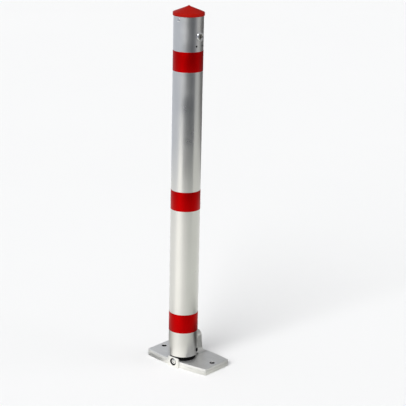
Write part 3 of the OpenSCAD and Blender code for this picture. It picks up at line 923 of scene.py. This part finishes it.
class BOLLARD_OT_hinge(bpy.types.Operator):
    """Moulds the hinge core under the tube and sets its screws and the pivot bolt's head"""
    bl_idname = "bollard.hinge"
    bl_label = "Hinge core and bolts"

    def execute(self, context):
        core_r = extent("hinge_core").x / 2
        foot_r = core_r - 0.9 * MM
        bottom, top = low("hinge_core").z, high("hinge_core").z
        step = TUBE_BOTTOM
        outline = rounded([
            (1 * MM, bottom), (foot_r, bottom, 1.2 * MM), (foot_r, step), (core_r, step, 0.3 * MM),
            (core_r, top, 1 * MM), (1 * MM, top)], 4)
        piece = turned("hinge_core_moulding", outline, Matrix.Translation((0, AXIS_Y, 0)), 128)
        washer = low("pivot_washer").y
        boss_place = facing((0, 1, 0), (0, washer, PIVOT_Z))
        boolean(piece, pin_cutter("boss", BOSS_D - 0.04 * MM, -30 * MM, 0, boss_place), "UNION")
        boolean(piece, swing_tool())
        bolt = extent("lock_bolt").x + 0.1 * MM
        drilled(piece, bolt, -10 * MM, 100 * MM, facing((0, 0, 1), (0, ROD_Y, 0)))
        shank = extent("pivot_bush").x - 6.4 * MM
        drilled(piece, shank, -30 * MM, 2 * MM, boss_place)
        smooth(bevelled(piece, 0.4 * MM, 2, 50), weighted=True)
        finished(piece, "post", "black_nylon", "hinge_core")
        self.core_screws()
        self.pivot_bolt()
        return {"FINISHED"}

    def core_screws(self):
        """Two button-head screws through the tube's wall into the core."""
        z = centre("core_screws").z
        r = extent("core_screws").z / 2
        screws = []
        for angle in wall_angles("core_screws"):
            place = on_wall(angle, z)
            profile = [(2.4 * MM, -13.5 * MM), (3 * MM, -12.8 * MM), (3 * MM, -0.8 * MM),
                       (r - 0.2 * MM, -0.8 * MM), (r, -0.5 * MM)]
            for i in range(1, 8):
                a = math.radians(11 * i)
                profile.append((r * math.cos(a), -0.2 * MM + 3.2 * MM * math.sin(a)))
            screw = turned("core_screw", profile, place, 48)
            socketed(screw, 4 * MM, 1.9 * MM, place @ Matrix.Translation((0, 0, 3 * MM)))
            screws.append(bevelled(screw, 0.12 * MM, 2))
        piece = joined(*screws)
        piece.name = "core_screw_pair"
        smooth(piece, weighted=True)
        finished(piece, "post", "black_oxide_steel", "core_screws")

    def pivot_bolt(self):
        """The pivot bolt, whose socket head lies in the ear's recess."""
        r = extent("pivot_bolt").x / 2
        end = high("pivot_bolt").y
        shank = r - 3 * MM
        start = low("pivot_bolt").y
        head = 6 * MM
        outline = rounded([
            (shank - 0.8 * MM, start), (shank, start + 0.8 * MM), (shank, end - head),
            (r, end - head, 0.3 * MM), (r, end, 0.7 * MM), (0.6 * r, end)], 4)
        place = facing((0, 1, 0), (0, 0, PIVOT_Z))
        piece = turned("pivot_bolt_turned", outline, place, 96)
        top = facing((0, 1, 0), (0, end, PIVOT_Z))
        socketed(piece, 8 * MM, 4 * MM, top)
        smooth(bevelled(piece, 0.15 * MM, 2, 50), weighted=True)
        finished(piece, "post", "zinc_plated_steel", "pivot_bolt")


# ---- lock ----

class BOLLARD_OT_lock(bpy.types.Operator):
    """Builds the lock's barrel and plug, with its keyway, and the two screws of the lock case"""
    bl_idname = "bollard.lock"
    bl_label = "Lock"

    def execute(self, context):
        z = centre("lock_barrel").z
        flange_r = extent("lock_barrel").y / 2
        inner_end, face = low("lock_barrel").x, high("lock_barrel").x
        body_r = flange_r - 1.5 * MM
        plug_r = extent("lock_plug").y / 2
        bore = plug_r + 0.05 * MM
        place = facing((1, 0, 0), (0, AXIS_Y, z))
        outline = rounded([
            (bore, inner_end), (body_r, inner_end, 0.5 * MM), (body_r, TUBE_R - 1.5 * MM),
            (flange_r, TUBE_R - 1.5 * MM), (flange_r, face, 1.1 * MM), (bore + 1.6 * MM, face, 0.3 * MM),
            (bore + 1.2 * MM, face - 0.7 * MM, 0.2 * MM), (bore, face - 0.7 * MM, 0.2 * MM)], 4)
        barrel = turned("lock_barrel_turned", outline, place, 128, ring=True)
        smooth(barrel)
        finished(barrel, "post", "chromed_zinc", "lock_barrel")
        self.plug(place, plug_r)
        self.screws()
        return {"FINISHED"}

    def plug(self, place, plug_r):
        """The plug, with a stepped keyway cut into its dished face."""
        start, end = low("lock_plug").x + 3 * MM, high("lock_plug").x
        outline = rounded([
            (plug_r, start), (plug_r, end - 0.3 * MM, 0.4 * MM),
            (plug_r * 0.8, end - 0.2 * MM, 0.5 * MM), (1.0 * MM, end - 0.9 * MM)], 4)
        plug = turned("lock_plug_turned", outline, place, 96)
        for width, height, shift in ((1.8, 8.4, 0.0), (3.0, 2.6, -2.0)):
            slot = add_shape("cube", size=1, location=(end, AXIS_Y, place.translation.z + shift * MM))
            slot.scale = (16 * MM, width * MM, height * MM)
            boolean(plug, settle(slot))
        tail_r = plug_r - 1.5 * MM
        tail = turned("tail", [(tail_r, low("lock_plug").x), (tail_r, start + 0.5 * MM)], place, 48)
        boolean(plug, tail, "UNION")
        smooth(bevelled(plug, 0.12 * MM, 2, 60))
        finished(plug, "plug", "nickel_plated_brass", "lock_plug")

    def screws(self):
        """Two set screws that hold the lock case, just below the tube's skin."""
        z = centre("lock_screws").z
        r = extent("lock_screws").z / 2
        screws = []
        for angle in wall_angles("lock_screws"):
            place = on_wall(angle, z, -1 * MM)
            profile = [(r - 0.6 * MM, -12 * MM), (r, -11.4 * MM), (r, -0.4 * MM), (r - 0.4 * MM, 0),
                       (0.5 * MM, 0)]
            screw = turned("lock_screw", profile, place, 32)
            socketed(screw, 2.5 * MM, 2 * MM, place)
            screws.append(screw)
        piece = joined(*screws)
        piece.name = "lock_screw_pair"
        smooth(piece)
        finished(piece, "post", "black_oxide_steel", "lock_screws")


class BOLLARD_OT_inner_pieces(bpy.types.Operator):
    """Gives every CAD node its real finish, for those that stay as they are"""
    bl_idname = "bollard.inner_pieces"
    bl_label = "Inner pieces"

    def execute(self, context):
        slots = {part["node"]: part["material_slot"] for part in frame["record"]["subparts"]}
        for name, node in frame["nodes"].items():
            material = MATERIALS[slots[name]]
            for target in [node, *node.children_recursive]:
                if target.type != "MESH":
                    continue
                if not target.material_slots:
                    target.data.materials.append(material)
                for held in target.material_slots:
                    held.material = material
        return {"FINISHED"}


# ---- stage ----

class BOLLARD_OT_stage(bpy.types.Operator):
    """Sets a pale floor, soft light and the camera"""
    bl_idname = "bollard.stage"
    bl_label = "Studio"

    def execute(self, context):
        self.floor()
        self.world()
        self.lights()
        self.cards()
        self.camera()
        context.scene.view_settings.view_transform = "Standard"
        return {"FINISHED"}

    def floor(self):
        floor = add_shape("grid", x_subdivisions=8, y_subdivisions=8, size=120, location=(0, 0, -0.4 * MM))
        floor.name = "studio_floor"
        settle(floor)
        # Matt paper: even and pale, with a tone change too slow to see as a pattern
        material, tree, grid = blank("studio_paper")
        cloud = add_node(tree, "ShaderNodeTexNoise", {"Scale": 0.001}, {"Vector": grid})
        pale = list(colours().floor)
        tint = mixed(tree, cloud.outputs["Fac"], toned(pale, 0.99), toned(pale, 1.01))
        shade(tree, {"Base Color": tint}, **{"Roughness": 0.9, "Specular IOR Level": 0.0})
        floor.data.materials.append(material)

    def world(self):
        world = bpy.data.worlds.new("studio")
        world.use_nodes = True
        tree = world.node_tree
        tree.nodes.clear()
        sky = add_node(tree, "ShaderNodeBackground", {"Color": (0.98, 0.99, 1, 1), "Strength": 0.58})
        add_node(tree, "ShaderNodeOutputWorld", links={"Surface": sky.outputs["Background"]})
        bpy.context.scene.world = world

    def lights(self):
        """Two broad distant lights: the key from the front left and a weak one from the right."""
        for name, around, up, power, spread in (
                ("key", -78, 36, 2.6, 34), ("fill", 30, 30, 0.4, 40)):
            data = bpy.data.lights.new(name, "SUN")
            data.energy = power
            data.angle = math.radians(spread)
            lamp = bpy.data.objects.new(name, data)
            a, e = math.radians(around), math.radians(up)
            toward = Vector((math.cos(a) * math.cos(e), math.sin(a) * math.cos(e), math.sin(e)))
            lamp.location = toward * 3
            lamp.rotation_euler = toward.to_track_quat("Z", "Y").to_euler()
            bpy.context.collection.objects.link(lamp)

    def cards(self):
        """Glowing cards that show only in glossy reflections, where they paint reflected light and shade: a
        wall and floor discs, whose greys change round the post, and a low bright panel at the front left
        that paints a highlight.
        Below them, a dark sheet under the base paints the shade there."""
        # Degrees round from the camera's side, and the grey there
        # Painted reflections: each card's greys are the light and shade that glossy surfaces show round the
        # post
        wall = (
            (-150, "#D2D6DE"), (-60, "#C4C8D0"), (-35, "#8A8E96"), (-10, "#54575C"), (36, "#4E5156"),
            (52, "#6A6C72"), (74, "#BDBDBD"), (90, "#B4B4B2"), (112, "#6C6C6C"), (150, "#6C6C6C"))
        floor = (
            (-150, "#DADAD6"), (-80, "#E2E1DC"), (-64, "#FFFDF6"), (-40, "#FFFDF6"), (-8, "#DAD9D3"),
            (30, "#C4C5BE"), (100, "#C6C7C0"), (150, "#D6D6D2"))
        # The near and rim discs paint reflected light and the contact shade close to the base
        near = (
            (-150, "#8C8C88"), (-100, "#B4B4AE"), (-64, "#E8E7E0"), (-40, "#EDECE6"), (-8, "#D0CFC9"),
            (30, "#C0C1BA"), (74, "#9A9A96"), (88, "#2C2C2B"), (116, "#2C2C2B"), (150, "#8C8C88"))
        rim = (
            (-150, "#3C3C3B"), (-104, "#4A4A48"), (-86, "#7A7A76"), (-62, "#FFFDF6"), (-30, "#FFFDF6"),
            (20, "#D0CFC9"), (60, "#8C8C88"), (88, "#2C2C2B"), (116, "#2C2C2B"), (150, "#3C3C3B"))
        # The panel paints the bright highlight streak down the tube
        panel = ((-58, "#FFFDF6"), (-28, "#FFFDF6"))
        self.card("reflector_wall", wall, 1.0, 2.0, 0.0, 2.4)
        self.card("reflector_floor", floor, 1.3, 1.98, -0.3 * MM)
        self.card("reflector_near", near, 1.3, 0.3, -0.2 * MM)
        self.card("reflector_rim", rim, 1.3, 0.11, -0.15 * MM)
        self.card("reflector_panel", panel, 1.35, 1.9, 0.0, 0.34)
        # Painted shade: a black sheet just under the base that stands in for the shade beneath it
        sheet = add_shape("plane", size=1, location=(0, 0, -0.1 * MM))
        sheet.name = "underlay"
        sheet.scale = (extent("base_plate").x - 10 * MM, sizes().end_width - 12 * MM, 1)
        settle(sheet)
        black = moulded_plastic("underlay", linear("#050505"), 0.8, 1.0, 0.01 * MM, gloss=0.0)
        sheet.data.materials.append(black)

    def card(self, name, stops, strength, radius, bottom, height=0.0):
        """A glowing card round the post: an upright wall of a height, or else a flat disc. A wall
        with only two stops is cut off at them."""
        hub = (0, AXIS_Y, bottom + height / 2)
        if height:
            card = add_shape("cylinder", vertices=120, radius=radius, depth=height,
                             end_fill_type="NOTHING", location=hub)
        else:
            card = add_shape("circle", vertices=120, radius=radius, fill_type="NGON", location=hub)
        card.name = name
        settle(card)
        facing_camera = math.radians(CAMERA_ANGLE)
        if len(stops) == 2:
            middle = facing_camera + math.radians(stops[0][0] + stops[1][0]) / 2
            half = math.radians(stops[1][0] - stops[0][0]) / 2
            edit(card, "FACE")
            aim, axis = Vector((math.cos(middle), math.sin(middle))), Vector((0, AXIS_Y))
            pick(card, lambda f: (f.calc_center_median().xy - axis).angle(aim) > half, "faces")
            bpy.ops.mesh.delete(type="FACE")
            done()
        material = bpy.data.materials.new(name)
        material.use_nodes = True
        tree = material.node_tree
        tree.nodes.clear()
        place = add_node(tree, "ShaderNodeTexCoord")
        # The radial gradient runs anticlockwise and is halfway at the camera's side
        turn = add_node(tree, "ShaderNodeMapping", {"Rotation": (0, 0, -facing_camera)},
                        {"Vector": place.outputs["Object"]})
        wheel = add_node(tree, "ShaderNodeTexGradient", links={"Vector": turn.outputs["Vector"]},
                         gradient_type="RADIAL")
        ramp = add_node(tree, "ShaderNodeValToRGB", links={"Fac": wheel.outputs["Fac"]})
        for i, (angle, code) in enumerate(stops):
            at = angle / 360 + 0.5
            stop = ramp.color_ramp.elements[i] if i < 2 else ramp.color_ramp.elements.new(at)
            stop.position = at
            stop.color = (*linear(code), 1)
        glow = add_node(tree, "ShaderNodeEmission", {"Strength": strength}, {"Color": ramp.outputs["Color"]})
        add_node(tree, "ShaderNodeOutputMaterial", links={"Surface": glow.outputs["Emission"]})
        card.data.materials.append(material)
        card.visible_camera = False
        card.visible_diffuse = False
        card.visible_shadow = False
        card.visible_transmission = False

    def camera(self):
        """A long lens at eye height, turned past the post a little so that it stands left of the middle."""
        distance, height = 3.396, 1.477
        around, aside, down, roll = (math.radians(a) for a in (90 + CAMERA_ANGLE, 0.764, 16.892, 1.255))
        data = bpy.data.cameras.new("camera")
        data.sensor_width = 36
        data.lens = 122.15
        camera = bpy.data.objects.new("camera", data)
        spot = Vector((math.sin(around) * distance, AXIS_Y - math.cos(around) * distance, height))
        # Straight ahead is along +Y; the camera is turned to the post, tipped down and rolled
        turn = Matrix.Rotation(around - aside, 4, "Z")
        tip = Matrix.Rotation(math.pi / 2 - down, 4, "X")
        camera.matrix_world = Matrix.Translation(spot) @ turn @ tip @ Matrix.Rotation(roll, 4, "Z")
        bpy.context.collection.objects.link(camera)
        bpy.context.scene.camera = camera


STEPS = (
    BOLLARD_OT_inner_pieces, BOLLARD_OT_base_casting, BOLLARD_OT_keeper_screw, BOLLARD_OT_post_tube,
    BOLLARD_OT_bands, BOLLARD_OT_cap, BOLLARD_OT_hinge, BOLLARD_OT_lock, BOLLARD_OT_stage,
)


class BOLLARD_PT_panel(bpy.types.Panel):
    """Lists the steps in order, and the sizes and colours that they use"""
    bl_label = "Fold-down Bollard"
    bl_idname = "BOLLARD_PT_panel"
    bl_space_type = "VIEW_3D"
    bl_region_type = "UI"
    bl_category = "Bollard"

    def draw(self, context):
        for step in STEPS:
            self.layout.operator(step.bl_idname)
        for group in (context.scene.bollard_sizes, context.scene.bollard_colours):
            box = self.layout.box()
            for key in group.__annotations__:
                box.prop(group, key)


CLASSES = (BollardSizes, BollardColours, *STEPS, BOLLARD_PT_panel)


def register():
    for cls in CLASSES:
        bpy.utils.register_class(cls)
    bpy.types.Scene.bollard_sizes = PointerProperty(type=BollardSizes)
    bpy.types.Scene.bollard_colours = PointerProperty(type=BollardColours)


def unregister():
    del bpy.types.Scene.bollard_colours
    del bpy.types.Scene.bollard_sizes
    for cls in reversed(CLASSES):
        bpy.utils.unregister_class(cls)


def main():
    register()
    MATERIALS.update(make_materials())
    for step in STEPS:
        group, name = step.bl_idname.split(".")
        getattr(getattr(bpy.ops, group), name)()


if __name__ == "__main__":
    main()
